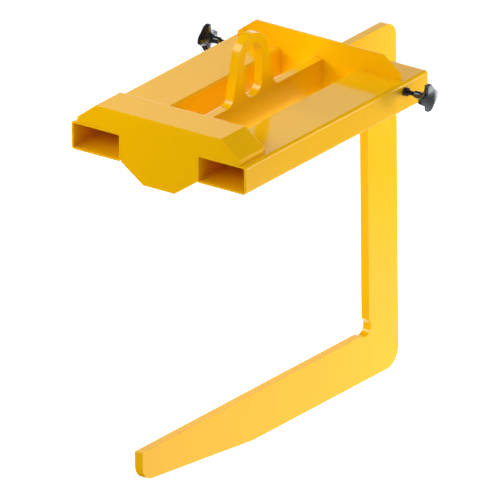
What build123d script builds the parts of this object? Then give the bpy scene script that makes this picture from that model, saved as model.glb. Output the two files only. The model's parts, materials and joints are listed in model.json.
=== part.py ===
from build123d import *
import math
import os

# Coil hook carried on two fork tines, or by the eye on its top edge.
# Working frame while modelling, millimetres: X across (0 on the plane of symmetry),
# Y from the front ends of the fork pockets towards the rear leg, Z up from the pockets' undersides.
# Every piece is shifted at the end, so that the stored origin lies midway between the two
# pockets at their fork-entry (rear) ends, at half their height.

# ---- driving dimensions -------------------------------------------------
# fork pockets: rectangular hollow section
POCKET_W = 160.0
POCKET_H = 80.0
POCKET_T = 6.0
POCKET_R = 9.0
POCKET_LEN = 813.0
POCKET_IN = 123.0                      # inner side face of each pocket, from the symmetry plane
POCKET_OUT = POCKET_IN + POCKET_W

# hook plate: one C-shaped plate with the eye
HOOK_T = 26.0
ARM_H = 130.0                          # depth of the leg and the lower arm
HOOK_TOP = 82.4                        # the upper arm's edges
UPPER_BOTTOM = -50.0
LEG_FRONT = 913.0
LEG_REAR = LEG_FRONT + ARM_H
ARM_TOP = -763.0
ARM_BOTTOM = ARM_TOP - ARM_H
TIP_Y = -99.0
TIP_H = 81.0
TAPER_Y = 394.0
TIP_R = 46.0
HEEL_R = 52.0
SHOULDER_R = 42.0
THROAT_R = 30.0                        # upper inner corner
RELIEF_R = 24.0                        # round relief in the lower inner corner
RELIEF_IN = 16.2                       # centre of the relief from the leg and above the arm;
RELIEF_UP = 17.6                       # the circle takes the corner itself away

# lifting eye on the hook plate's top edge
EYE_Y = 407.5
EYE_TOP_R = 66.7
EYE_TOP_Z = 192.0                      # centre of the eye's top arc
EYE_LEAN = 13.0
EYE_FOOT_R = 25.0
SLOT_W = 76.0
SLOT_L = 150.0
SLOT_Z = 155.0

# front plate, hood and rear plate
PLATE_T = 12.0                         # front plate and hood
TONGUE_Z = -50.5
TONGUE_HALF = 51.0
HOOD_Z = 142.0
HOOD_HALF = 203.0
HOOD_FOOT = 264.0
HOOD_REAR = 110.0
REAR_Y = 717.0
REAR_T = 6.0
REAR_TOP = 140.5
REAR_HALF = 206.5
REAR_FOOT = 264.5
REAR_END_Z = 97.0
SLIT_GAP = 0.5                         # room round the hook plate in the rear plate's slit

# clamp screws, one on each pocket's outer wall
CLAMP_Y = 711.0
CLAMP_Z = 56.0
THREAD_D = 12.0
NUT_AF = 22.0
NUT_H = 10.0
NUT_BORE_D = 12.1
WALL_HOLE_D = 13.0
HUB_X = 316.6                          # inner end of the knob's hub
HUB_D = 20.0
KNOB_X = 351.0                         # back of the lobes
KNOB_END = 371.0                       # middle of the domed outer face
DOME_R = 100.0
KNOB_D = 77.0
FLANK_AT, FLANK_R = 52.0, 25.0         # flank circle: distance from the axis and radius
BUSH_D = 15.0
BUSH_X = 315.6
BUSH_END = 341.0
STUD_END = 340.0
PAD_D = 25.0
PAD_FACE = 264.0
PAD_BACK = 275.0
PIN_D = 8.0
PIN_BORE_D = 8.2
PIN_BORE_END = 268.0
PIN_END = 268.3
STUD_SHOULDER = 275.3
GROOVE_A, GROOVE_B = 271.0, 273.0      # ring groove in the pad and in the pin
GROOVE_PIN_D = 6.6
GROOVE_PAD_D = 10.4
RING_ID, RING_OD, RING_T = 6.8, 10.0, 1.6
RING_GAP = 1.6

# fillet welds
WELD = 6.0

SHIFT = Location((0, -POCKET_LEN, -POCKET_H / 2))
os.makedirs("parts", exist_ok=True)


# ---- helpers ------------------------------------------------------------
def rounded_outline(corners):
    """Closed face in 2D from corners (u, v, radius): straight sides, tangent arc at each corner."""
    n = len(corners)
    cuts = []
    for i, (u, v, r) in enumerate(corners):
        p = Vector(u, v)
        a = Vector(*corners[i - 1][:2])
        b = Vector(*corners[(i + 1) % n][:2])
        da, db = (a - p).normalized(), (b - p).normalized()
        if r <= 0:
            cuts.append((p, None, p))
            continue
        half = math.radians(da.get_angle(db)) / 2
        run = r / math.tan(half)
        mid_dir = (da + db).normalized()
        centre = p + mid_dir * (r / math.sin(half))
        cuts.append((p + da * run, centre - mid_dir * r, p + db * run))
    edges = []
    for i in range(n):
        start, mid, end = cuts[i]
        if mid is not None:
            edges.append(ThreePointArc(start, mid, end))
        edges.append(Line(end, cuts[(i + 1) % n][0]))
    return make_face(edges)


def along_x(face, x0, x1):
    """Prism of a (Y, Z) outline from x0 to x1."""
    return extrude(Plane.YZ.offset(x0) * face, amount=x1 - x0)


def along_y(face, y0, y1):
    """Prism of an (X, Z) outline from y0 to y1."""
    return extrude(Plane.XZ.offset(-y0) * face, amount=-(y1 - y0))


def along_z(face, z0, z1):
    """Prism of an (X, Y) outline from z0 to z1."""
    return extrude(Plane.XY.offset(z0) * face, amount=z1 - z0)


def poly(*points):
    return make_face(Polyline(*points, close=True))


def rod(d, x0, x1):
    """Round bar along X on the clamp axis."""
    at = Plane(origin=(x0, CLAMP_Y, CLAMP_Z), x_dir=(0, 1, 0), z_dir=(1, 0, 0))
    return extrude(at * Circle(d / 2), amount=x1 - x0)


def spun(points):
    """Body of revolution about the clamp axis from (x, radius) points."""
    at = Plane(origin=(0, CLAMP_Y, CLAMP_Z), x_dir=(1, 0, 0), z_dir=(0, -1, 0))
    return revolve(at * poly(*points), axis=Axis((0, CLAMP_Y, CLAMP_Z), (1, 0, 0)), revolution_arc=360)


def left(shape):
    return mirror(shape, about=Plane.YZ)


def save(name, *solids):
    placed = [s.moved(SHIFT) for piece in solids for s in piece.solids()]
    export_step(placed[0] if len(placed) == 1 else Compound(children=placed), f"parts/{name}.step")


# ---- hook plate ---------------------------------------------------------
lean = math.radians(EYE_LEAN)
eye_apex = EYE_TOP_Z + EYE_TOP_R / math.sin(lean)
eye_foot = (eye_apex - HOOK_TOP) * math.tan(lean)
outline = rounded_outline([
    (PLATE_T, UPPER_BOTTOM, 0),
    (LEG_FRONT, UPPER_BOTTOM, THROAT_R),
    (LEG_FRONT, ARM_TOP, 0),
    (TIP_Y, ARM_TOP, 2.0),
    (TIP_Y, ARM_TOP - TIP_H, TIP_R),
    (TAPER_Y, ARM_BOTTOM, 0),
    (LEG_REAR, ARM_BOTTOM, HEEL_R),
    (LEG_REAR, HOOK_TOP, SHOULDER_R),
    (EYE_Y + eye_foot, HOOK_TOP, EYE_FOOT_R),
    (EYE_Y, eye_apex, EYE_TOP_R),
    (EYE_Y - eye_foot, HOOK_TOP, EYE_FOOT_R),
    (PLATE_T, HOOK_TOP, 0),
])
hook_plate = along_x(outline, -HOOK_T / 2, HOOK_T / 2)
slot = Pos(EYE_Y, SLOT_Z) * SlotOverall(SLOT_L, SLOT_W, rotation=90)
relief = Pos(LEG_FRONT - RELIEF_IN, ARM_TOP + RELIEF_UP) * Circle(RELIEF_R)
hook_plate -= along_x(slot, -HOOK_T, HOOK_T)
hook_plate -= along_x(relief, -HOOK_T, HOOK_T)
save("hook_plate", hook_plate)

# ---- fork pockets -------------------------------------------------------
pocket_mid = POCKET_IN + POCKET_W / 2
outer = Pos(pocket_mid, POCKET_H / 2) * RectangleRounded(POCKET_W, POCKET_H, POCKET_R)
inner = Pos(pocket_mid, POCKET_H / 2) * RectangleRounded(
    POCKET_W - 2 * POCKET_T, POCKET_H - 2 * POCKET_T, POCKET_R - POCKET_T)
pocket = along_y(outer - inner, 0, POCKET_LEN)
pocket -= rod(WALL_HOLE_D, POCKET_OUT - POCKET_T - 2, POCKET_OUT + 2)
save("fork_pocket_right", pocket)
save("fork_pocket_left", left(pocket))

# ---- front plate and hood -----------------------------------------------
# the hood's slope is set so that its inner face meets the pocket top at the hood's foot
run = HOOD_FOOT - HOOD_HALF
drop = HOOD_Z - POCKET_H
slope = math.atan2(drop - PLATE_T, run)
for _ in range(50):
    slope = math.atan2(drop - PLATE_T / math.cos(slope), run)
foot_z = HOOD_Z - run * math.tan(slope)
inner_half = HOOD_HALF - PLATE_T * math.tan(slope / 2)
corner_r = POCKET_R - 1.0
right_side = [
    (TONGUE_HALF, TONGUE_Z, 0),
    (POCKET_IN, 0, 0),
    (POCKET_IN, POCKET_H, corner_r),
    (HOOD_FOOT, POCKET_H, 0),
    (HOOD_FOOT, foot_z, 0),
    (HOOD_HALF, HOOD_Z, 0),
]
left_side = [(-x, z, r) for x, z, r in reversed(right_side)]
save("front_plate", along_y(rounded_outline(right_side + left_side), 0, PLATE_T))

hood_right = [(HOOD_HALF, HOOD_Z), (HOOD_FOOT, foot_z), (HOOD_FOOT, POCKET_H), (inner_half, HOOD_Z - PLATE_T)]
hood_left = [(-x, z) for x, z in reversed(hood_right)]
save("front_cover", along_y(poly(*hood_right, *hood_left), PLATE_T, HOOD_REAR))

# ---- rear plate, slit for the hook plate --------------------------------
slit = HOOK_T / 2 + SLIT_GAP
rear_right = [
    (slit, HOOK_TOP + SLIT_GAP, 0),
    (slit, TONGUE_Z, 0),
    (TONGUE_HALF, TONGUE_Z, 0),
    (POCKET_IN, 0, 0),
    (POCKET_IN, POCKET_H, corner_r),
    (REAR_FOOT, POCKET_H, 0),
    (REAR_FOOT, REAR_END_Z, 0),
    (REAR_HALF, REAR_TOP, 0),
]
rear_left = [(-x, z, r) for x, z, r in reversed(rear_right)]
save("rear_plate", along_y(rounded_outline(rear_right + rear_left), REAR_Y, REAR_Y + REAR_T))

# ---- fillet welds -------------------------------------------------------
h = HOOK_T / 2
rear_face = REAR_Y + REAR_T
flat_lo, flat_hi = POCKET_R + 1, POCKET_H - POCKET_R - 1


def bead(corner, leg_a, leg_b, bulge=0.8):
    """Fillet bead section: two straight legs on the plates and a slightly convex face."""
    c, a, b = Vector(*corner), Vector(*leg_a), Vector(*leg_b)
    mid = (a + b) * 0.5
    out = (mid - c).normalized() * bulge
    return make_face([Line(c, a), ThreePointArc(a, mid + out, b), Line(b, c)])


front_side = along_z(bead((h, PLATE_T), (h + WELD, PLATE_T), (h, PLATE_T + WELD)), UPPER_BOTTOM, HOOK_TOP)
save("weld_hook_front", front_side, left(front_side))

rear_side = along_z(bead((h, rear_face), (h + WELD, rear_face), (h, rear_face + WELD)), UPPER_BOTTOM, HOOK_TOP)
# the bead starts on the rear plate beyond the slit
rear_side -= along_z(poly((0, rear_face - 1), (slit, rear_face - 1), (slit, rear_face), (0, rear_face)),
                     UPPER_BOTTOM - 1, HOOK_TOP + 1)
save("weld_hook_rear", rear_side, left(rear_side))

front_wall = along_z(bead((POCKET_IN, PLATE_T), (POCKET_IN - WELD, PLATE_T), (POCKET_IN, PLATE_T + WELD)),
                     flat_lo, flat_hi)
save("weld_front_plate_right", front_wall)
save("weld_front_plate_left", left(front_wall))

rear_wall = along_z(bead((POCKET_IN, rear_face), (POCKET_IN - WELD, rear_face), (POCKET_IN, rear_face + WELD)),
                    flat_lo, flat_hi)
rear_top = along_x(bead((rear_face, POCKET_H), (rear_face + WELD, POCKET_H), (rear_face, POCKET_H + WELD)),
                   POCKET_IN + POCKET_R + 1, REAR_FOOT - 1)
save("weld_rear_plate_right", rear_wall, rear_top)
save("weld_rear_plate_left", left(rear_wall), left(rear_top))

foot = (HOOD_FOOT - 1.0, POCKET_H)
leg = 11.0
hood_foot = along_y(
    bead((foot[0], foot[1]), (foot[0] - leg, foot[1]),
         (foot[0] - leg * math.cos(slope), foot[1] + (leg * math.sin(slope)) - 0.02), bulge=0.5),
    PLATE_T + WELD + 2, HOOD_REAR - 4)
hood_foot -= along_y(poly(*hood_right, *hood_left), PLATE_T, HOOD_REAR)
save("weld_cover_right", hood_foot)
save("weld_cover_left", left(hood_foot))

hood_under = HOOD_Z - PLATE_T
hood_front = along_x(bead((PLATE_T, hood_under), (PLATE_T + WELD, hood_under), (PLATE_T, hood_under - WELD)),
                     -inner_half + 4, inner_half - 4)
save("weld_cover_front", hood_front)

# ---- clamp screws (right side, the left one is its mirror image) --------
nut_x1 = POCKET_OUT + NUT_H
nut_plane = Plane(origin=(POCKET_OUT, CLAMP_Y, CLAMP_Z), x_dir=(0, 1, 0), z_dir=(1, 0, 0))
nut = extrude(nut_plane * RegularPolygon(NUT_AF / 2, 6, major_radius=False, rotation=30), amount=NUT_H)
corner = NUT_AF / math.sqrt(3) + 0.2
bevel = (corner - NUT_AF / 2 + 0.4) * math.tan(math.radians(30))
nut &= spun([(POCKET_OUT, 0), (POCKET_OUT, corner - 0.4), (POCKET_OUT + 0.3, corner), (nut_x1 - bevel, corner),
             (nut_x1, NUT_AF / 2 - 0.4), (nut_x1, 0)])
nut -= rod(NUT_BORE_D, POCKET_OUT - 1, nut_x1 + 1)
nut -= spun([(nut_x1 + 0.01, 0), (nut_x1 + 0.01, NUT_BORE_D / 2 + 0.9), (nut_x1 - 0.9, NUT_BORE_D / 2),
             (nut_x1 - 0.9, 0)])
save("clamp_nut_right", nut)
save("clamp_nut_left", left(nut))

stud = spun([
    (PIN_END, 0), (PIN_END, PIN_D / 2 - 0.8), (PIN_END + 0.8, PIN_D / 2),
    (GROOVE_A, PIN_D / 2), (GROOVE_A, GROOVE_PIN_D / 2), (GROOVE_B, GROOVE_PIN_D / 2), (GROOVE_B, PIN_D / 2),
    (STUD_SHOULDER, PIN_D / 2), (STUD_SHOULDER, THREAD_D / 2 - 1.0), (STUD_SHOULDER + 1.0, THREAD_D / 2),
    (STUD_END - 1.0, THREAD_D / 2), (STUD_END, THREAD_D / 2 - 1.0), (STUD_END, 0),
])
save("clamp_stud_right", stud)
save("clamp_stud_left", left(stud))

bush = spun([(BUSH_X, THREAD_D / 2 + 0.05), (BUSH_X, BUSH_D / 2 - 0.6), (BUSH_X + 0.6, BUSH_D / 2),
             (BUSH_END, BUSH_D / 2), (BUSH_END, THREAD_D / 2 + 0.05)])
save("knob_bush_right", bush)
save("knob_bush_left", left(bush))

# cross knob: four lobes with hollow flanks, domed outer face, hub flaring into the lobes
star = Circle(KNOB_D / 2)
for k in range(4):
    a = math.radians(45 + 90 * k)
    star -= Pos(FLANK_AT * math.cos(a), FLANK_AT * math.sin(a)) * Circle(FLANK_R)
star = fillet(star.vertices(), 6.0)
knob_plane = Plane(origin=(KNOB_X, CLAMP_Y, CLAMP_Z), x_dir=(0, 1, 0), z_dir=(1, 0, 0))
lobes = extrude(knob_plane * star, amount=KNOB_END - KNOB_X)
lobes &= Pos(KNOB_END - DOME_R, CLAMP_Y, CLAMP_Z) * Sphere(DOME_R)
lobes = fillet(lobes.faces().sort_by(Axis.X)[-1].edges(), 2.4)
lobes = fillet(lobes.faces().sort_by(Axis.X)[0].edges(), 4.0)
hub_r = HUB_D / 2
flare = spun([(HUB_X, 0), (HUB_X, hub_r - 1.2), (HUB_X + 1.2, hub_r), (HUB_X + 20, hub_r + 0.5),
              (HUB_X + 27, hub_r + 2.4), (HUB_X + 31, hub_r + 5.4), (KNOB_X + 1.0, hub_r + 10.0), (KNOB_X + 1.0, 0)])
knob = lobes + flare
knob -= rod(BUSH_D + 0.1, HUB_X - 1, BUSH_END + 1)
save("clamp_knob_right", knob)
save("clamp_knob_left", left(knob))

pad_r = PAD_D / 2
pad = spun([
    (PAD_FACE, 0), (PAD_FACE, pad_r - 0.8), (PAD_FACE + 0.8, pad_r), (PAD_FACE + 5.0, pad_r),
    (PAD_BACK, pad_r - 4.5), (PAD_BACK, PIN_BORE_D / 2), (GROOVE_B, PIN_BORE_D / 2),
    (GROOVE_B, GROOVE_PAD_D / 2), (GROOVE_A, GROOVE_PAD_D / 2), (GROOVE_A, PIN_BORE_D / 2),
    (PIN_BORE_END, PIN_BORE_D / 2), (PIN_BORE_END, 0),
])
save("thrust_pad_right", pad)
save("thrust_pad_left", left(pad))

ring_x = (GROOVE_A + GROOVE_B - RING_T) / 2
ring = rod(RING_OD, ring_x, ring_x + RING_T) - rod(RING_ID, ring_x - 1, ring_x + RING_T + 1)
ring -= Pos(ring_x + RING_T / 2, CLAMP_Y, CLAMP_Z - RING_OD / 2) * Box(RING_T + 2, RING_GAP, RING_OD)
save("pad_ring_right", ring)
save("pad_ring_left", left(ring))
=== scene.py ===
import json
import math
import random

import bmesh
import bpy
from mathutils import Matrix, Vector, geometry, noise


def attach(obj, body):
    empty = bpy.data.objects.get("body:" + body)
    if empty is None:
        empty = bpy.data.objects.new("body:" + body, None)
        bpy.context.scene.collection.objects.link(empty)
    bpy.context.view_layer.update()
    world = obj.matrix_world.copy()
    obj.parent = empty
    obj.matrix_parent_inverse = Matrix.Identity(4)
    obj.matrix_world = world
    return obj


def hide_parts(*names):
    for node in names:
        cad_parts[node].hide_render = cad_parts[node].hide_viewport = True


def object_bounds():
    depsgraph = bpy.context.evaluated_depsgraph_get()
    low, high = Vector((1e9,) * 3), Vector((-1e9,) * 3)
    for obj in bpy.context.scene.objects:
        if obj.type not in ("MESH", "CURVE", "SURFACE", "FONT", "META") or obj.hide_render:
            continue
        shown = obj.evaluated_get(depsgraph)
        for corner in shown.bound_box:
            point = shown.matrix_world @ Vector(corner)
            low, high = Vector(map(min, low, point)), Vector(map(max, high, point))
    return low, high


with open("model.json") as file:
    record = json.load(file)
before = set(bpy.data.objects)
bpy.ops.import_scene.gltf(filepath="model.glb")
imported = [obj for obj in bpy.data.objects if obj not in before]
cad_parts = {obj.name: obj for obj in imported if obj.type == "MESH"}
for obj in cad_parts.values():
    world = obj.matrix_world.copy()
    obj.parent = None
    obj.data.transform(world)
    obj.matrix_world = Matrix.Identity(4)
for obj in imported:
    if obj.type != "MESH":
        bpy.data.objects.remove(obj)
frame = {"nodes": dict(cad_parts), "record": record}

cad_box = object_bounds()
nodes = frame["nodes"]
scene = bpy.context.scene

# Lengths below are millimetres in the working frame of the part: X across, Y from the pockets' front
# ends to the rear, Z up from the pockets' undersides. at() turns them into the stored frame, in metres.
POCKET_LEN, POCKET_H, POCKET_W, POCKET_T, POCKET_R, POCKET_IN = 813.0, 80.0, 160.0, 6.0, 9.0, 123.0
POCKET_OUT = POCKET_IN + POCKET_W
CLAMP_Y, CLAMP_Z = 711.0, 56.0


def at(x, y, z):
    return ((x) / 1000.0, (y - POCKET_LEN) / 1000.0, (z - POCKET_H / 2) / 1000.0)


# ---------------------------------------------------------------- camera
az, el, roll = math.radians(36.2168), math.radians(22.5173), math.radians(0.4356)
right = Vector((math.cos(az), math.sin(az), 0.0))
toward = Vector((math.sin(az) * math.cos(el), -math.cos(az) * math.cos(el), math.sin(el)))
up = toward.cross(right)
cam_x = right * math.cos(roll) - up * math.sin(roll)
cam_y = right * math.sin(roll) + up * math.cos(roll)
look = Vector((0.0, -0.4097, -0.3982))
cam_data = bpy.data.cameras.new("camera")
cam_data.type = "ORTHO"
cam_data.ortho_scale = 1.3134
cam_data.clip_start = 0.05
cam_data.clip_end = 200.0
camera = bpy.data.objects.new("camera", cam_data)
camera.matrix_world = Matrix(((cam_x.x, cam_y.x, toward.x, 0), (cam_x.y, cam_y.y, toward.y, 0),
                              (cam_x.z, cam_y.z, toward.z, 0), (0, 0, 0, 1)))
camera.location = look + toward * 6.0
scene.collection.objects.link(camera)
scene.camera = camera


# ---------------------------------------------------------------- outlines
def turn(v, a):
    c, s = math.cos(a), math.sin(a)
    return (v[0] * c - v[1] * s, v[0] * s + v[1] * c)


def corner(a, p, b, r, step=5.0):
    """Arc of radius r at corner p between a and b: points (u, v, normal u, normal v).
    The material lies on the left of the line, and the normal points away from it."""
    d1 = Vector((p[0] - a[0], p[1] - a[1])).normalized()
    d2 = Vector((b[0] - p[0], b[1] - p[1])).normalized()
    cross = d1.x * d2.y - d1.y * d2.x
    phi = math.atan2(abs(cross), d1.dot(d2))
    side = 1.0 if cross > 0 else -1.0
    n1 = (d1.y, -d1.x)
    if phi < 1e-6:
        return [(p[0], p[1], n1[0], n1[1])]
    run = r * math.tan(phi / 2)
    start = (p[0] - d1.x * run, p[1] - d1.y * run)
    centre = (start[0] - n1[0] * r * side, start[1] - n1[1] * r * side)
    count = max(3, math.ceil(math.degrees(phi) / step))
    out = []
    for k in range(count + 1):
        n = turn(n1, side * phi * k / count)
        out.append((centre[0] + n[0] * r * side, centre[1] + n[1] * r * side, n[0], n[1]))
    return out


def outline(corners, least=1.0, step=5.0):
    """Closed outline from corners (u, v, radius), none of them sharper than least."""
    count = len(corners)
    out = []
    for i, (u, v, r) in enumerate(corners):
        out += corner(corners[i - 1], (u, v), corners[(i + 1) % count], max(r, least), step)
    return out


def mesh_object(name, verts, faces, normals=None):
    """Smooth mesh object; normals holds one direction per face corner where it is given."""
    mesh = bpy.data.meshes.new(name)
    mesh.from_pydata(verts, [], faces)
    mesh.polygons.foreach_set("use_smooth", [True] * len(mesh.polygons))
    if normals is not None:
        mesh.normals_split_custom_set([Vector(n).normalized() for face in normals for n in face])
    mesh.validate()
    mesh.update()
    obj = bpy.data.objects.new(name, mesh)
    scene.collection.objects.link(obj)
    return obj


def sharpen(obj, angle):
    """Turn all faces outwards and keep edges above the angle sharp."""
    bm = bmesh.new()
    bm.from_mesh(obj.data)
    bmesh.ops.recalc_face_normals(bm, faces=bm.faces)
    for e in bm.edges:
        if len(e.link_faces) == 2 and e.calc_face_angle(0.0) > math.radians(angle):
            e.smooth = False
    bm.to_mesh(obj.data)
    bm.free()


class Slab:
    """Plate cut to an outline, between lo and hi, with rounded rims.
    place(u, v, w) gives a point in the working frame; flip is true where u, v, w is a left-handed set."""

    def __init__(self, place, direct, flip):
        self.place, self.direct, self.flip = place, direct, flip
        self.verts, self.faces, self.normals = [], [], []

    def point(self, u, v, w):
        self.verts.append(at(*self.place(u, v, w)))
        return len(self.verts) - 1

    def face(self, ids, ns):
        if self.flip:
            ids, ns = ids[::-1], ns[::-1]
        self.faces.append(ids)
        self.normals.append([self.direct(*n) for n in ns])

    def cap(self, loops, w_normal):
        """Flat face inside loops of (index, u, v)."""
        flat = [p for loop in loops for p in loop]
        tris = geometry.tessellate_polygon([[Vector((u, v, 0)) for _, u, v in loop] for loop in loops])
        for t in tris:
            (i, a, b), (j, c, d), (k, e, f) = (flat[x] for x in t)
            area = (c - a) * (f - b) - (e - a) * (d - b)
            if abs(area) < 1e-9:
                continue
            ids = [i, j, k] if (area > 0) == (w_normal > 0) else [i, k, j]
            self.face(ids, [(0, 0, w_normal)] * 3)

    def build(self, loops, lo, hi, rim_lo, rim_hi, steps=4, skip=(), run_hi=0.0):
        """Rounded rims at both ends; run_hi makes the upper one longer than deep, as on a sheared edge."""
        caps_lo, caps_hi, self.long = [], [], {}
        run_hi = run_hi or rim_hi
        for number, loop in enumerate(loops):
            stations = []
            if rim_lo > 0:
                for k in range(steps + 1):
                    f = math.pi / 2 * k / steps
                    stations.append((rim_lo * (1 - math.sin(f)), lo + rim_lo * (1 - math.cos(f)), math.sin(f), -math.cos(f)))
            else:
                stations.append((0.0, lo, 1.0, 0.0))
            body = len(stations) - 1
            if rim_hi > 0:
                for k in range(steps + 1):
                    f = math.pi / 2 * k / steps
                    size = math.hypot(run_hi * math.cos(f), rim_hi * math.sin(f))
                    stations.append((rim_hi * (1 - math.cos(f)), hi - run_hi * (1 - math.sin(f)),
                                     run_hi * math.cos(f) / size, rim_hi * math.sin(f) / size))
            else:
                stations.append((0.0, hi, 1.0, 0.0))
            rings = []
            for inset, w, side, cap in stations:
                rings.append([(self.point(u - nu * inset, v - nv * inset, w), (nu * side, nv * side, cap), u - nu * inset, v - nv * inset)
                              for u, v, nu, nv in loop])
            count = len(loop)
            for j in range(len(rings) - 1):
                for i in range(count):
                    k = (i + 1) % count
                    if j == body and (number, i) in skip:
                        self.long[number, i] = [rings[j][i], rings[j][k], rings[j + 1][k], rings[j + 1][i]]
                        continue
                    quad = [rings[j][i], rings[j][k], rings[j + 1][k], rings[j + 1][i]]
                    self.face([q[0] for q in quad], [q[1] for q in quad])
            caps_lo.append([(q[0], q[2], q[3]) for q in rings[0]])
            caps_hi.append([(q[0], q[2], q[3]) for q in rings[-1]])
        self.cap(caps_lo, -1.0)
        self.cap(caps_hi, 1.0)
        return self

    def object(self, name):
        return mesh_object(name, self.verts, self.faces, self.normals)


def slab_x():
    return Slab(lambda u, v, w: (w, u, v), lambda u, v, w: (w, u, v), False)


def slab_y():
    return Slab(lambda u, v, w: (u, w, v), lambda u, v, w: (u, w, v), True)


pieces = {}


def piece(obj, body, node):
    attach(obj, body)
    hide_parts(node)
    pieces[node] = obj
    return obj


# ---------------------------------------------------------------- hook plate
HOOK_T, ARM_H, HOOK_TOP, UPPER_BOTTOM = 26.0, 130.0, 82.4, -50.0
LEG_FRONT, ARM_TOP, TIP_Y, TIP_H, TAPER_Y = 913.0, -763.0, -99.0, 81.0, 394.0
LEG_REAR, ARM_BOTTOM = LEG_FRONT + ARM_H, ARM_TOP - ARM_H
EYE_Y, EYE_TOP_R, EYE_TOP_Z, EYE_LEAN, EYE_FOOT_R = 407.5, 66.7, 192.0, math.radians(13.0), 25.0
SLOT_W, SLOT_L, SLOT_Z = 76.0, 150.0, 155.0
RELIEF_R, RELIEF_IN, RELIEF_UP, RELIEF_EDGE = 24.0, 16.2, 17.6, 2.0
PLATE_T, EDGE = 12.0, 0.6

apex = EYE_TOP_Z + EYE_TOP_R / math.sin(EYE_LEAN)
foot = (apex - HOOK_TOP) * math.tan(EYE_LEAN)
hook_corners = [
    (PLATE_T, UPPER_BOTTOM, 0.05), (LEG_FRONT, UPPER_BOTTOM, 30.0), None, (TIP_Y, ARM_TOP, 2.2),
    (TIP_Y, ARM_TOP - TIP_H, 46.0), (TAPER_Y, ARM_BOTTOM, 60.0), (LEG_REAR, ARM_BOTTOM, 52.0), (LEG_REAR, HOOK_TOP, 42.0),
    (EYE_Y + foot, HOOK_TOP, EYE_FOOT_R), (EYE_Y, apex, EYE_TOP_R), (EYE_Y - foot, HOOK_TOP, EYE_FOOT_R), (PLATE_T, HOOK_TOP, 0.05),
]
inner_corner = (LEG_FRONT, ARM_TOP)


def relief():
    """Round relief in the lower inner corner, with softened edges where it meets the leg and the arm."""
    cy, cz = LEG_FRONT - RELIEF_IN, ARM_TOP + RELIEF_UP
    r, e = RELIEF_R, RELIEF_EDGE
    top = (LEG_FRONT + e, cz + math.sqrt((r + e) ** 2 - (RELIEF_IN + e) ** 2))
    low = (cy - math.sqrt((r + e) ** 2 - (RELIEF_UP + e) ** 2), ARM_TOP - e)
    a_top = math.atan2(top[1] - cz, top[0] - cy)
    a_low = math.atan2(low[1] - cz, low[0] - cy)
    out = []
    # from the leg's front face into the relief: the edge's normal turns from -Y towards the relief's centre
    for k in range(7):
        a = math.pi + a_top * k / 6
        out.append((top[0] + e * math.cos(a), top[1] + e * math.sin(a), math.cos(a), math.sin(a)))
    sweep = a_low - a_top
    count = 44
    for k in range(1, count):
        a = a_top + sweep * k / count
        out.append((cy + r * math.cos(a), cz + r * math.sin(a), -math.cos(a), -math.sin(a)))
    start = a_low + math.pi
    for k in range(7):
        a = start + (math.pi / 2 - start) * k / 6
        out.append((low[0] + e * math.cos(a), low[1] + e * math.sin(a), math.cos(a), math.sin(a)))
    return out


hook_line = []
for i, c in enumerate(hook_corners):
    if c is None:
        hook_line += relief()
        continue
    before = hook_corners[i - 1] or inner_corner
    after = hook_corners[(i + 1) % len(hook_corners)] or inner_corner
    hook_line += corner(before, c[:2], after, c[2], 3.0)
half = SLOT_L / 2 - SLOT_W / 2
slot_line = []
# the slot runs clockwise: down its rear side, round the bottom, up its front side, round the top
for k in range(37):
    a = -math.pi * k / 36
    slot_line.append((EYE_Y + SLOT_W / 2 * math.cos(a), SLOT_Z - half + SLOT_W / 2 * math.sin(a), -math.cos(a), -math.sin(a)))
for k in range(37):
    a = math.pi - math.pi * k / 36
    slot_line.append((EYE_Y + SLOT_W / 2 * math.cos(a), SLOT_Z + half + SLOT_W / 2 * math.sin(a), -math.cos(a), -math.sin(a)))
hook = slab_x().build([hook_line, slot_line], -HOOK_T / 2, HOOK_T / 2, EDGE, EDGE).object("hook_plate_finish")
piece(hook, "frame", "hook_plate")

# ---------------------------------------------------------------- fork pockets
HOLE_R = 6.5


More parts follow.
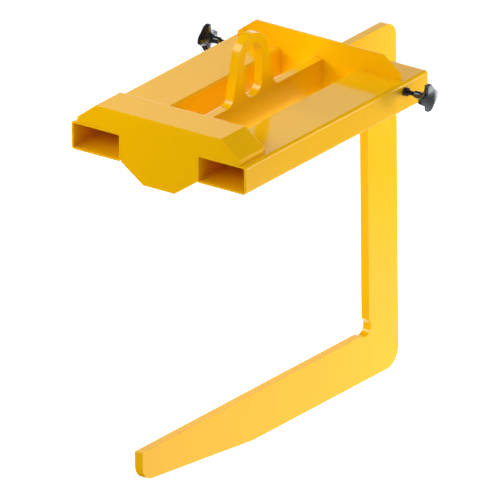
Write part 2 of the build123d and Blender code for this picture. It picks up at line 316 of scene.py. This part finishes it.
def pocket(name, sign):
    mid = POCKET_IN + POCKET_W / 2
    w, h = POCKET_W / 2, POCKET_H / 2

    def rect(x, z, r, reverse):
        pts = [(mid - x, h - z, r), (mid + x, h - z, r), (mid + x, h + z, r), (mid - x, h + z, r)]
        if sign < 0:
            pts = [(-u, v, r) for u, v, r in reversed(pts)]
        if reverse:
            pts = pts[::-1]
        return outline(pts, 0.5, 9.0)

    loops = [rect(w, h, POCKET_R, False), rect(w - POCKET_T, h - POCKET_T, POCKET_R - POCKET_T, True)]
    skip = set()
    for number, loop in enumerate(loops):
        for i, (u, v, nu, nv) in enumerate(loop):
            nxt = loop[(i + 1) % len(loop)]
            far = POCKET_OUT if number == 0 else POCKET_OUT - POCKET_T
            if abs(abs(u) - far) < 1e-6 and abs(abs(nxt[0]) - far) < 1e-6 and abs(v - nxt[1]) > 30:
                skip.add((number, i))
    s = slab_y()
    s.build(loops, 0.0, POCKET_LEN, 0.7, 0.7, 3, skip)
    # the outer wall's two faces, with the stud's hole through them
    count = 40
    rows = []
    for x, r in ((POCKET_OUT, HOLE_R + 0.5), (POCKET_OUT - 0.5, HOLE_R), (POCKET_OUT - POCKET_T + 0.5, HOLE_R), (POCKET_OUT - POCKET_T, HOLE_R + 0.5)):
        row = []
        for k in range(count):
            a = 2 * math.pi * k / count
            row.append((s.point(sign * x, CLAMP_Z + r * math.sin(a), CLAMP_Y + r * math.cos(a)), math.cos(a), math.sin(a)))
        rows.append(row)
    for j in range(3):
        for k in range(count):
            n = (k + 1) % count
            quad = [rows[j][k], rows[j + 1][k], rows[j + 1][n], rows[j][n]]
            ids = [q[0] for q in quad]
            ns = [(0.0, -q[2], -q[1]) for q in quad]
            pts = [Vector(s.verts[i]) for i in ids]
            facing = (pts[1] - pts[0]).cross(pts[2] - pts[0]).dot(Vector((0.0, -quad[0][1], -quad[0][2])))
            if facing < 0:
                ids, ns = ids[::-1], ns[::-1]
            s.faces.append(ids)
            s.normals.append([s.direct(*q) for q in ns])
    for (number, i), quad in s.long.items():
        row = rows[0] if number == 0 else rows[3]
        ids = [q[0] for q in quad]
        loop_a = [Vector((s.verts[q][1], s.verts[q][2], 0)) for q in ids]
        loop_b = [Vector((s.verts[q[0]][1], s.verts[q[0]][2], 0)) for q in row]
        flat = ids + [q[0] for q in row]
        out_dir = Vector((sign * (1.0 if number == 0 else -1.0), 0.0, 0.0))
        for t in geometry.tessellate_polygon([loop_a, loop_b]):
            tri = [flat[x] for x in t]
            pts = [Vector(s.verts[x]) for x in tri]
            n = (pts[1] - pts[0]).cross(pts[2] - pts[0])
            if n.length < 1e-12:
                continue
            if n.dot(out_dir) < 0:
                tri = tri[::-1]
            s.faces.append(tri)
            s.normals.append([tuple(out_dir)] * 3)
    return s.object(name)


for side, sign in (("left", -1.0), ("right", 1.0)):
    piece(pocket("fork_pocket_%s_finish" % side, sign), "frame", "fork_pocket_%s" % side)

# ---------------------------------------------------------------- front plate and hood
TONGUE_Z, TONGUE_HALF, HOOD_Z, HOOD_HALF, HOOD_FOOT, HOOD_REAR = -50.5, 51.0, 142.0, 203.0, 264.0, 110.0
run, drop = HOOD_FOOT - HOOD_HALF, HOOD_Z - POCKET_H
slope = math.atan2(drop - PLATE_T, run)
for _ in range(50):
    slope = math.atan2(drop - PLATE_T / math.cos(slope), run)
foot_z = HOOD_Z - run * math.tan(slope)
inner_half = HOOD_HALF - PLATE_T * math.tan(slope / 2)
BEND = 2.5


def both_sides(right_side):
    return right_side + [(-x, z, r) for x, z, r in reversed(right_side)]


front_line = outline(both_sides([
    (TONGUE_HALF, TONGUE_Z, 1.2), (POCKET_IN, 0.0, 1.2), (POCKET_IN, POCKET_H, POCKET_R - 1.0),
    (HOOD_FOOT, POCKET_H, 0.05), (HOOD_FOOT, foot_z, 1.2), (HOOD_HALF, HOOD_Z, BEND)]), 0.05)
front = slab_y().build([front_line], 0.0, PLATE_T, 0.6, 0.0).object("front_plate_finish")
piece(front, "frame", "front_plate")

hood_line = outline(both_sides([
    (inner_half, HOOD_Z - PLATE_T, 1.5), (HOOD_FOOT, POCKET_H, 0.05), (HOOD_FOOT, foot_z, 1.2), (HOOD_HALF, HOOD_Z, BEND)]), 0.05)
hood = slab_y().build([hood_line], PLATE_T, HOOD_REAR, 0.0, 0.8, 8, run_hi=5.0).object("front_cover_finish")
piece(hood, "frame", "front_cover")

# ---------------------------------------------------------------- rear plate
REAR_Y, REAR_T, REAR_TOP, REAR_HALF, REAR_FOOT, REAR_END_Z, SLIT = 717.0, 6.0, 140.5, 206.5, 264.5, 97.0, 13.02
rear_line = outline(both_sides([
    (SLIT, HOOK_TOP + 0.02, 0.3), (SLIT, TONGUE_Z, 0.8), (TONGUE_HALF, TONGUE_Z, 1.2), (POCKET_IN, 0.0, 1.2),
    (POCKET_IN, POCKET_H, POCKET_R - 1.0), (REAR_FOOT, POCKET_H, 0.3), (REAR_FOOT, REAR_END_Z, 1.5), (REAR_HALF, REAR_TOP, 1.5)]), 0.05)
rear = slab_y().build([rear_line], REAR_Y, REAR_Y + REAR_T, 0.25, 0.5).object("rear_plate_finish")
piece(rear, "frame", "rear_plate")

# ---------------------------------------------------------------- weld beads
WELD = 6.0


def beads(name, node, runs, pitch=3.2):
    """Fillet beads: runs of (start, end, direction on one face, direction on the other, leg, bulge)."""
    rng = random.Random(sum(ord(ch) for ch in node))
    verts, faces = [], []
    for start, end, da, db, leg, bulge in runs:
        start, end, da, db = Vector(start), Vector(end), Vector(da), Vector(db)
        along = end - start
        length = along.length
        along.normalize()
        count = int(length / 0.55)
        across = 9
        shift = rng.random() * 50
        base = len(verts)
        out = (da + db).normalized()
        for j in range(count + 1):
            s = length * j / count
            near = min(s, length - s)
            taper = min(1.0, math.sqrt(max(0.0, near) / 4.0)) if near < 4.0 else 1.0
            wob = noise.noise(Vector((s * 0.09, shift, 0.0)))
            here = leg * (0.93 + 0.05 * wob) * (0.12 + 0.88 * taper)
            root = start + along * s
            verts.append(at(*root))
            for i in range(across):
                t = i / (across - 1)
                scale = 1 - (2 * t - 1) ** 2
                phase = (s + 1.5 * scale + 0.5 * noise.noise(Vector((s * 0.2, shift + 9, 0.0)))) / pitch
                saw = phase - math.floor(phase)
                ripple = (saw ** 0.6 - 0.5) * 0.34 * min(1.0, leg / 6.0) * scale * taper
                p = root + (da * (1 - t) + db * t) * here + out * (bulge * scale * taper + ripple)
                verts.append(at(*p))
        width = across + 1
        for j in range(count):
            for i in range(width):
                k = (i + 1) % width
                a, b, c, d = (base + j * width + i, base + j * width + k, base + (j + 1) * width + k, base + (j + 1) * width + i)
                faces.append([a, b, c, d])
        faces.append([base + i for i in range(width)][::-1])
        faces.append([base + count * width + i for i in range(width)])
    obj = mesh_object(name, verts, faces)
    sharpen(obj, 50.0)
    piece(obj, "frame", node)


h = HOOK_T / 2
rear_face = REAR_Y + REAR_T
X, Y, Z = Vector((1, 0, 0)), Vector((0, 1, 0)), Vector((0, 0, 1))
beads("weld_hook_front_bead", "weld_hook_front",
      [((s * h, PLATE_T, UPPER_BOTTOM), (s * h, PLATE_T, HOOK_TOP), X * s, Y, WELD, 0.5) for s in (-1, 1)])
beads("weld_hook_rear_bead", "weld_hook_rear",
      [((s * h, rear_face, UPPER_BOTTOM), (s * h, rear_face, HOOK_TOP), X * s, Y, WELD, 0.5) for s in (-1, 1)])
lo, hi = POCKET_R + 1, POCKET_H - POCKET_R - 1
for side, s in (("left", -1), ("right", 1)):
    beads("weld_front_plate_%s_bead" % side, "weld_front_plate_%s" % side,
          [((s * POCKET_IN, PLATE_T, lo), (s * POCKET_IN, PLATE_T, hi), X * -s, Y, WELD, 0.5)])
    beads("weld_rear_plate_%s_bead" % side, "weld_rear_plate_%s" % side,
          [((s * POCKET_IN, rear_face, lo), (s * POCKET_IN, rear_face, hi), X * -s, Y, WELD, 0.5),
           ((s * (POCKET_IN + POCKET_R + 1), rear_face, POCKET_H), (s * (REAR_FOOT - 1), rear_face, POCKET_H), Y, Z, WELD, 0.5)])
    beads("weld_cover_%s_bead" % side, "weld_cover_%s" % side,
          [((s * (HOOD_FOOT - 1), PLATE_T + WELD + 2, POCKET_H), (s * (HOOD_FOOT - 1), HOOD_REAR - 4, POCKET_H), X * -s,
            Vector((-s * math.cos(slope), 0, math.sin(slope) * 0.97)), 11.0, 0.2)])
beads("weld_cover_front_bead", "weld_cover_front",
      [((-inner_half + 4, PLATE_T, HOOD_Z - PLATE_T), (inner_half - 4, PLATE_T, HOOD_Z - PLATE_T), Y, -Z, WELD, 0.5)])

# ---------------------------------------------------------------- clamp studs with their threads
THREAD_R, THREAD_ROOT, PITCH = 5.98, 5.02, 1.75
PIN_END, PIN_R, SHOULDER, STUD_END = 268.3, 4.0, 275.3, 340.0


def lathe_rows(rows, sign, count, name, smooth_angle=40.0):
    """Closed body from rows of (x, radius) round the clamp axis, each a number or a function of the angle; first and last rows are closed."""
    verts, faces = [], []
    for x, r in rows:
        for k in range(count):
            a = 2 * math.pi * k / count
            rad = r(a) if callable(r) else r
            verts.append(at(sign * (x(a) if callable(x) else x), CLAMP_Y + rad * math.cos(a), CLAMP_Z + rad * math.sin(a)))
    for j in range(len(rows) - 1):
        for k in range(count):
            n = (k + 1) % count
            faces.append([j * count + k, j * count + n, (j + 1) * count + n, (j + 1) * count + k])
    for j, back in ((0, True), (len(rows) - 1, False)):
        x = rows[j][0]
        verts.append(at(sign * (x(0.0) if callable(x) else x), CLAMP_Y, CLAMP_Z))
        c = len(verts) - 1
        for k in range(count):
            n = (k + 1) % count
            faces.append([c, j * count + n, j * count + k] if back else [c, j * count + k, j * count + n])
    obj = mesh_object(name, verts, faces)
    sharpen(obj, smooth_angle)
    return obj


def thread(x, sign, fade=1.0):
    """Radius round a right-hand M12 thread at station x."""
    def radius(a):
        p = (sign * x / PITCH - a / (2 * math.pi)) % 1.0
        tri = 1 - abs(2 * p - 1)
        crest = min(1.0, max(0.0, (tri - 0.12) / 0.70))
        r = THREAD_ROOT + (THREAD_R - THREAD_ROOT) * crest
        return r if fade >= 1.0 else min(r, fade)
    return radius


def stud(name, sign):
    rows = [(PIN_END, 2.6), (PIN_END + 0.25, 3.4), (PIN_END + 0.8, 3.98), (271.0, 3.98), (271.0 + 0.02, 3.3), (273.0 - 0.02, 3.3), (273.0, 3.98),
            (SHOULDER - 0.02, 3.98), (SHOULDER, 4.9)]
    x = SHOULDER + 0.1
    while x < 316.5:
        ramp = THREAD_ROOT + (x - SHOULDER) * 0.9 if x < SHOULDER + 1.2 else 99.0
        rows.append((x, thread(x, sign, ramp) if ramp < 90 else thread(x, sign)))
        x += PITCH / 14
    rows += [(317.0, 5.5), (STUD_END - 1.0, 5.5), (STUD_END, 4.6)]
    return lathe_rows(rows, sign, 40, name, 62.0)


for side, sign in (("left", -1.0), ("right", 1.0)):
    piece(stud("clamp_stud_%s_thread" % side, sign), "screw_%s" % side, "clamp_stud_%s" % side)

# ---------------------------------------------------------------- cross knobs
HUB_X, KNOB_END, KNOB_BACK, DOME_R, BUSH_R, BUSH_END = 316.6, 371.0, 351.0, 100.0, 7.55, 341.0


def smooth_min(a, b, k):
    m = max(0.0, k - abs(a - b)) / k
    return min(a, b) - m * m * k * 0.25


def star(tip, dist, flank, blend):
    """Radius of a four-lobed outline: lobes along the two cross directions, hollow flanks between them."""
    def radius(a):
        d = (a - math.pi / 4) % (math.pi / 2)
        d = min(d, math.pi / 2 - d)
        under = flank ** 2 - (dist * math.sin(d)) ** 2
        hollow = dist * math.cos(d) - math.sqrt(under) if under > 0 else tip * 1.6
        return smooth_min(tip, hollow, blend)
    return radius


def knob(name, sign):
    """Cross knob: domed outer face, flanks that grow hollower towards the back of the lobes, hub that flares into them."""
    outer = star(38.45, 74.5, 46.5, 6.0)
    middle = star(38.4, 62.0, 36.0, 6.0)
    inner = star(38.2, 50.0, 29.0, 5.0)
    rim, back_rim, back_inset = 2.2, 4.6, 5.4

    def mix(fa, fb, t):
        return lambda a: fa(a) * (1 - t) + fb(a) * t

    def less(f, inset):
        return lambda a: f(a) - inset

    def lean(a):
        return (outer(a) - rim) / DOME_R

    def edge(a):
        return outer(a) - rim * (1 - math.sin(lean(a)))

    def rim_x(a):
        return KNOB_END - edge(a) ** 2 / (2 * DOME_R) - rim * math.cos(lean(a))

    rows = []
    for k in (0.03, 0.12, 0.24, 0.36, 0.48, 0.6, 0.7, 0.8, 0.88, 0.95):
        rows.append((lambda a, k=k: KNOB_END - (edge(a) * k) ** 2 / (2 * DOME_R), lambda a, k=k: edge(a) * k))
    for k in range(8):
        def angle(a, k=k):
            return lean(a) + (math.pi / 2 - lean(a)) * k / 7
        rows.append((lambda a, f=angle: rim_x(a) + rim * math.cos(f(a)), lambda a, f=angle: outer(a) - rim * (1 - math.sin(f(a)))))
    back = mix(middle, inner, 0.8)
    for k in range(1, 7):
        t = k / 6
        rows.append((lambda a, t=t: rim_x(a) * (1 - t) + (KNOB_BACK + back_rim) * t,
                     mix(outer, middle, t * 1.8) if t <= 0.5 else mix(mix(outer, middle, 0.9), back, t * 2 - 1)))
    for k in range(1, 10):
        f = math.pi / 2 * k / 9
        rows.append((KNOB_BACK + back_rim * (1 - math.sin(f)), less(back, back_inset * (1 - math.cos(f)))))
    # undersides of the lobes run into the flared hub
    for k in range(1, 9):
        t = k / 8
        rows.append((KNOB_BACK - 5.0 * t * t, lambda a, t=t: (back(a) - back_inset) * (1 - t) + 14.0 * t))
    for t, r in ((0.25, 12.6), (0.5, 11.5), (0.75, 10.7), (1.0, 10.25)):
        rows.append((KNOB_BACK - 5.0 - 12.0 * t, r))
    rows += [(HUB_X + 6.0, 10.05), (HUB_X + 1.4, 10.0), (HUB_X + 0.7, 9.8), (HUB_X + 0.2, 9.3), (HUB_X, 8.7), (HUB_X, BUSH_R + 0.3), (HUB_X + 0.3, BUSH_R), (BUSH_END, BUSH_R)]
    return lathe_rows(rows, sign, 192, name, 55.0)


for side, sign in (("left", -1.0), ("right", 1.0)):
    piece(knob("clamp_knob_%s_moulding" % side, sign), "screw_%s" % side, "clamp_knob_%s" % side)


# ---------------------------------------------------------------- materials
def new_material(name):
    mat = bpy.data.materials.new(name)
    mat.use_nodes = True
    tree = mat.node_tree
    shader = next(n for n in tree.nodes if n.type == "BSDF_PRINCIPLED")
    return mat, tree, shader


def noise_node(tree, coord, scale, detail=3.0, rough=0.5):
    n = tree.nodes.new("ShaderNodeTexNoise")
    n.inputs["Scale"].default_value = scale
    n.inputs["Detail"].default_value = detail
    n.inputs["Roughness"].default_value = rough
    tree.links.new(coord, n.inputs["Vector"])
    return n.outputs["Fac"]


def spread(tree, value, lo, hi, out_lo, out_hi):
    n = tree.nodes.new("ShaderNodeMapRange")
    n.inputs["From Min"].default_value = lo
    n.inputs["From Max"].default_value = hi
    n.inputs["To Min"].default_value = out_lo
    n.inputs["To Max"].default_value = out_hi
    tree.links.new(value, n.inputs["Value"])
    return n.outputs["Result"]


def blend_colour(tree, value, a, b):
    n = tree.nodes.new("ShaderNodeMix")
    n.data_type = "RGBA"
    n.inputs[6].default_value = (*a, 1.0)
    n.inputs[7].default_value = (*b, 1.0)
    tree.links.new(value, n.inputs[0])
    return n.outputs[2]


def bump(tree, height, distance, before=None):
    n = tree.nodes.new("ShaderNodeBump")
    n.inputs["Strength"].default_value = 1.0
    n.inputs["Distance"].default_value = distance
    tree.links.new(height, n.inputs["Height"])
    if before is not None:
        tree.links.new(before, n.inputs["Normal"])
    return n.outputs["Normal"]


def object_coords(tree):
    return tree.nodes.new("ShaderNodeTexCoord").outputs["Object"]


# yellow powder coat: slight cloudiness in tone and gloss, and orange peel
yellow, tree, shader = new_material("yellow_powder_coat")
coord = object_coords(tree)
cloud = spread(tree, noise_node(tree, coord, 5.0, 4.0, 0.55), 0.3, 0.7, 0.0, 1.0)
tree.links.new(blend_colour(tree, cloud, (0.905, 0.478, 0.0005), (0.930, 0.497, 0.0005)), shader.inputs["Base Color"])
gloss = noise_node(tree, coord, 34.0, 3.0, 0.6)
tree.links.new(spread(tree, gloss, 0.3, 0.7, 0.10, 0.14), shader.inputs["Roughness"])
peel = noise_node(tree, coord, 330.0, 2.0, 0.45)
wave = noise_node(tree, coord, 26.0, 2.0, 0.4)
tree.links.new(bump(tree, peel, 0.000006, bump(tree, wave, 0.00003)), shader.inputs["Normal"])
shader.inputs["IOR"].default_value = 1.5
shader.inputs["Metallic"].default_value = 0.0

# black moulded plastic: fine spark-eroded grain
plastic, tree, shader = new_material("black_moulded_plastic")
coord = object_coords(tree)
tone = spread(tree, noise_node(tree, coord, 60.0, 3.0), 0.3, 0.7, 0.0, 1.0)
tree.links.new(blend_colour(tree, tone, (0.010, 0.010, 0.011), (0.017, 0.017, 0.019)), shader.inputs["Base Color"])
tree.links.new(spread(tree, noise_node(tree, coord, 240.0, 2.0), 0.3, 0.7, 0.17, 0.25), shader.inputs["Roughness"])
tree.links.new(bump(tree, noise_node(tree, coord, 1500.0, 2.0), 0.000008), shader.inputs["Normal"])
shader.inputs["IOR"].default_value = 1.8
shader.inputs["Specular Tint"].default_value = (0.84, 0.95, 1.0, 1.0)

# blackened and oiled steel
oxide, tree, shader = new_material("blackened_steel")
coord = object_coords(tree)
tone = spread(tree, noise_node(tree, coord, 160.0, 4.0, 0.6), 0.3, 0.7, 0.0, 1.0)
tree.links.new(blend_colour(tree, tone, (0.016, 0.016, 0.018), (0.042, 0.039, 0.037)), shader.inputs["Base Color"])
tree.links.new(spread(tree, noise_node(tree, coord, 420.0, 3.0), 0.3, 0.7, 0.28, 0.46), shader.inputs["Roughness"])
tree.links.new(bump(tree, noise_node(tree, coord, 900.0, 3.0), 0.00002), shader.inputs["Normal"])
shader.inputs["Metallic"].default_value = 0.6

# turned steel: rings round the clamp axis
steel, tree, shader = new_material("turned_steel")
coord = object_coords(tree)
split = tree.nodes.new("ShaderNodeSeparateXYZ")
tree.links.new(coord, split.inputs[0])


def math_node(tree, op, a, b):
    n = tree.nodes.new("ShaderNodeMath")
    n.operation = op
    for i, v in ((0, a), (1, b)):
        if isinstance(v, (int, float)):
            n.inputs[i].default_value = v
        elif v is not None:
            tree.links.new(v, n.inputs[i])
    return n.outputs[0]


cy, cz = at(0, CLAMP_Y, CLAMP_Z)[1:]
dy = math_node(tree, "SUBTRACT", split.outputs["Y"], cy)
dz = math_node(tree, "SUBTRACT", split.outputs["Z"], cz)
rad = math_node(tree, "SQRT", math_node(tree, "ADD", math_node(tree, "MULTIPLY", dy, dy), math_node(tree, "MULTIPLY", dz, dz)), None)
spot = math_node(tree, "ADD", math_node(tree, "MULTIPLY", rad, 9000.0), math_node(tree, "MULTIPLY", split.outputs["X"], 9000.0))
rings = math_node(tree, "SINE", spot, None)
grain = noise_node(tree, coord, 300.0, 3.0)
tree.links.new(blend_colour(tree, spread(tree, grain, 0.3, 0.7, 0.0, 1.0), (0.46, 0.46, 0.47), (0.60, 0.59, 0.58)), shader.inputs["Base Color"])
tree.links.new(spread(tree, grain, 0.3, 0.7, 0.22, 0.36), shader.inputs["Roughness"])
tree.links.new(bump(tree, rings, 0.000006), shader.inputs["Normal"])
shader.inputs["Metallic"].default_value = 1.0

by_slot = {"yellow_paint": yellow, "black_plastic": plastic, "black_oxide_steel": oxide, "bare_steel": steel}
slot_of = {p["node"]: p["material_slot"] for p in frame["record"]["subparts"]}
for name, obj in list(nodes.items()) + list(pieces.items()):
    target = obj
    target.data.materials.clear()
    target.data.materials.append(by_slot[slot_of[name]])

# ---------------------------------------------------------------- floor
floor_z = cad_box[0][2] - 0.0006
size = 60.0
floor = bpy.data.objects.new("floor", bpy.data.meshes.new("floor"))
floor.data.from_pydata([(-size, -size, floor_z), (size, -size, floor_z), (size, size, floor_z), (-size, size, floor_z)], [], [[0, 1, 2, 3]])
scene.collection.objects.link(floor)
white, tree, shader = new_material("pale_floor")
coord = object_coords(tree)
tree.links.new(blend_colour(tree, noise_node(tree, coord, 2.0), (0.90, 0.90, 0.90), (0.92, 0.92, 0.92)), shader.inputs["Base Color"])
shader.inputs["Roughness"].default_value = 0.9
shader.inputs["Specular IOR Level"].default_value = 0.0
shader.inputs["Emission Color"].default_value = (1, 1, 1, 1)
shader.inputs["Emission Strength"].default_value = 1.0
floor.data.materials.append(white)
floor.visible_glossy = False
floor.visible_diffuse = False
floor.visible_shadow = False

# ---------------------------------------------------------------- studio
# A white room: soft boxes on its walls, top and floor light the paint, and the gloss shows a pale wall behind,
# the pale floor on the right and one bright window.
world = bpy.data.worlds.new("studio")
scene.world = world
world.use_nodes = True
tree = world.node_tree
tree.nodes.clear()
direction = tree.nodes.new("ShaderNodeTexCoord").outputs["Generated"]
split = tree.nodes.new("ShaderNodeSeparateXYZ")
tree.links.new(direction, split.inputs[0])
dx, dy, dz = split.outputs


def smooth(tree, value, lo, hi, out_lo=0.0, out_hi=1.0):
    n = tree.nodes.new("ShaderNodeMapRange")
    n.interpolation_type = "SMOOTHSTEP"
    n.inputs["From Min"].default_value = lo
    n.inputs["From Max"].default_value = hi
    n.inputs["To Min"].default_value = out_lo
    n.inputs["To Max"].default_value = out_hi
    tree.links.new(value, n.inputs["Value"])
    return n.outputs["Result"]


def toward_light(vec):
    n = tree.nodes.new("ShaderNodeVectorMath")
    n.operation = "DOT_PRODUCT"
    tree.links.new(direction, n.inputs[0])
    n.inputs[1].default_value = vec
    return n.outputs["Value"]


def total(*parts):
    out = parts[0]
    for part in parts[1:]:
        out = math_node(tree, "ADD", out, part)
    return out


def times(a, b):
    return math_node(tree, "MULTIPLY", a, b)


above = math_node(tree, "SUBTRACT", dz, times(dx, 0.5))
wall = times(times(smooth(tree, dy, 0.05, 0.5), smooth(tree, dz, 0.10, 0.34, 1.6, 0.81)), times(smooth(tree, above, -0.15, 0.25), smooth(tree, dz, 0.42, 0.50, 1.0, 0.0)))
window = smooth(tree, toward_light((-0.546, -0.539, 0.642)), 0.945, 0.993)
strip = times(smooth(tree, toward_light((0.660, 0.750, -0.050)), 0.955, 0.985), smooth(tree, dz, 0.0, 0.10, 1.0, 0.0))
low_wall = smooth(tree, toward_light((0.050, 0.922, -0.384)), 0.87, 0.96)
gloss_light = total(wall, times(window, 4.5), times(strip, 5.0), times(low_wall, 3.2), 0.005)
path = tree.nodes.new("ShaderNodeLightPath")


def pick(test, a, b):
    n = tree.nodes.new("ShaderNodeMix")
    n.data_type = "FLOAT"
    tree.links.new(test, n.inputs[0])
    for i, v in ((2, b), (3, a)):
        if isinstance(v, (int, float)):
            n.inputs[i].default_value = v
        else:
            tree.links.new(v, n.inputs[i])
    return n.outputs[0]


strength = pick(path.outputs["Is Camera Ray"], 1.0, pick(path.outputs["Is Glossy Ray"], gloss_light, 0.0))
background = tree.nodes.new("ShaderNodeBackground")
background.inputs["Color"].default_value = (1, 1, 1, 1)
tree.links.new(strength, background.inputs["Strength"])
output = tree.nodes.new("ShaderNodeOutputWorld")
tree.links.new(background.outputs[0], output.inputs["Surface"])
world.cycles.sampling_method = "NONE"
scene.cycles.diffuse_bounces = 8


def soft_box(name, face, place, u, v, radiance):
    """Area light on the plane face = place ("+X" faces along +X, and so on), between the limits u and v on the other two axes."""
    axis = "XYZ".index(face[1])
    others = [k for k in range(3) if k != axis]
    centre = [0.0, 0.0, 0.0]
    centre[axis], centre[others[0]], centre[others[1]] = place, (u[0] + u[1]) / 2, (v[0] + v[1]) / 2
    ez, ex = Vector((0, 0, 0)), Vector((0, 0, 0))
    ez[axis] = -1.0 if face[0] == "+" else 1.0
    ex[others[0]] = 1.0
    ey = ez.cross(ex)
    light = bpy.data.lights.new(name, "AREA")
    light.shape = "RECTANGLE"
    light.size, light.size_y = u[1] - u[0], v[1] - v[0]
    light.energy = 4.0 * light.size * light.size_y * radiance
    obj = bpy.data.objects.new(name, light)
    obj.matrix_world = Matrix(((ex.x, ey.x, ez.x, centre[0]), (ex.y, ey.y, ez.y, centre[1]), (ex.z, ey.z, ez.z, centre[2]), (0, 0, 0, 1)))
    obj.visible_camera = False
    obj.visible_glossy = False
    scene.collection.objects.link(obj)


soft_box("right_low_rear", "-X", 1.7, (0.15, 1.5), (-0.93, -0.19), 1.17)
soft_box("right_middle_front", "-X", 1.7, (-1.2, 0.15), (-0.30, 0.05), 3.06)
soft_box("right_corner", "-X", 1.7, (0.85, 1.5), (-0.30, 0.05), 19.5)
soft_box("right_near", "-X", 1.0, (-1.3, -0.5), (-0.93, -0.1), 0.85)
soft_box("left_front", "+X", -1.7, (-2.1, -0.9), (0.5, 1.3), 6.17)
soft_box("left_low", "+X", -1.7, (-0.9, 0.3), (-0.2, 0.5), 0.25)
soft_box("left_high", "+X", -1.7, (-0.9, 0.3), (0.5, 1.3), 2.91)
soft_box("front_high_left", "+Y", -2.1, (-1.7, -0.5), (0.5, 1.3), 3.26)
soft_box("front_high", "+Y", -2.1, (-0.5, 0.6), (0.5, 1.3), 2.16)
soft_box("front_low", "+Y", -2.1, (-0.6, 0.6), (-0.93, -0.2), 1.23)
soft_box("front_near_left", "+Y", -0.9, (-1.2, -0.3), (-0.93, -0.3), 1.50)
soft_box("front_near_right", "+Y", -0.9, (0.3, 1.2), (-0.93, -0.3), 0.48)
soft_box("rear_right_low", "-Y", 1.5, (0.4, 1.7), (-0.93, -0.30), 7.7)
soft_box("rear_right_high", "-Y", 1.5, (0.4, 1.7), (-0.30, 0.2), 2.8)
soft_box("plate_fill", "+Y", -0.21, (-0.09, 0.0), (0.11, 0.17), 1.3)
soft_box("rear_low", "-Y", 1.5, (-0.6, 0.4), (-0.93, 0.2), 1.20)
soft_box("top_front_right", "-Z", 1.3, (0.6, 1.7), (-2.1, -0.8), 1.25)
soft_box("top_middle", "-Z", 1.3, (-0.6, 0.6), (-0.8, 0.3), 0.98)
soft_box("top_rear", "-Z", 1.3, (-0.6, 0.6), (0.3, 1.5), 0.73)
soft_box("top_right", "-Z", 1.3, (0.6, 1.7), (-0.8, 1.5), 0.68)
soft_box("floor_left", "+Z", -0.935, (-1.7, -0.57), (-0.9, 0.3), 4.59)
soft_box("floor_middle", "+Z", -0.935, (-0.57, 0.57), (-0.9, 0.3), 0.52)
soft_box("floor_front", "+Z", -0.935, (-1.7, 1.7), (-2.1, -0.9), 0.65)


def card(name, corners, paint):
    """Staged card that only reflections show; paint(tree, object coordinates) gives its brightness."""
    obj = bpy.data.objects.new(name, bpy.data.meshes.new(name))
    obj.data.from_pydata(corners, [], [[0, 1, 2, 3]])
    scene.collection.objects.link(obj)
    mat, tree, shader = new_material(name)
    tree.nodes.remove(shader)
    glow = tree.nodes.new("ShaderNodeEmission")
    tree.links.new(paint(tree, object_coords(tree)), glow.inputs["Strength"])
    tree.links.new(glow.outputs[0], next(n for n in tree.nodes if n.type == "OUTPUT_MATERIAL").inputs["Surface"])
    obj.data.materials.append(mat)
    obj.visible_camera = obj.visible_diffuse = obj.visible_shadow = False


def floor_pool(tree, coord):
    """Light pool on the floor to the right of the part, which fades towards the rear, and the bright wall's foot far behind."""
    parts = tree.nodes.new("ShaderNodeSeparateXYZ")
    tree.links.new(coord, parts.inputs[0])
    far = math_node(tree, "SUBTRACT", parts.outputs["Y"], math_node(tree, "MULTIPLY", parts.outputs["X"], 1.364))
    pool = math_node(tree, "MULTIPLY", smooth(tree, parts.outputs["Y"], 0.487, 1.437, 1.03, 0.28), smooth(tree, far, 0.25, 0.40, 1.0, 0.0))
    wall_foot = math_node(tree, "MULTIPLY", smooth(tree, far, 0.45, 0.90, 0.0, 3.2), smooth(tree, parts.outputs["Y"], 0.75, 1.0))
    return math_node(tree, "ADD", pool, wall_foot)


def floor_rear(tree, coord):
    return spread(tree, noise_node(tree, coord, 2.0), 0.0, 1.0, 2.2, 2.6)


# Near-black brightness for the flags, which paint dark reflections.
def dark(tree, coord):
    return spread(tree, noise_node(tree, coord, 3.0), 0.0, 1.0, 0.0, 0.01)


low = -0.935
card("floor_pool", [(0.0, -1.4, low), (4.5, -1.4, low), (4.5, 4.0, low), (0.0, 4.0, low)], floor_pool)
card("floor_rear", [(-1.8, 0.0, low), (-0.02, 0.0, low), (-0.02, 0.5, low), (-1.8, 0.5, low)], floor_rear)
# The two flags are dark sheets that only reflections show: they paint dark reflections into the trough faces beside the
# hook plate.
card("flag_right", [at(200, 0, -30), at(200, 1150, -30), at(200, 1150, -112), at(200, 0, -112)], dark)
card("flag_middle", [at(0, 14, -51), at(0, 715, -51), at(0, 715, -95), at(0, 14, -95)], dark)

scene.view_settings.view_transform = "Standard"
scene.view_settings.look = "None"
scene.view_settings.exposure = 0.0
scene.view_settings.gamma = 1.0
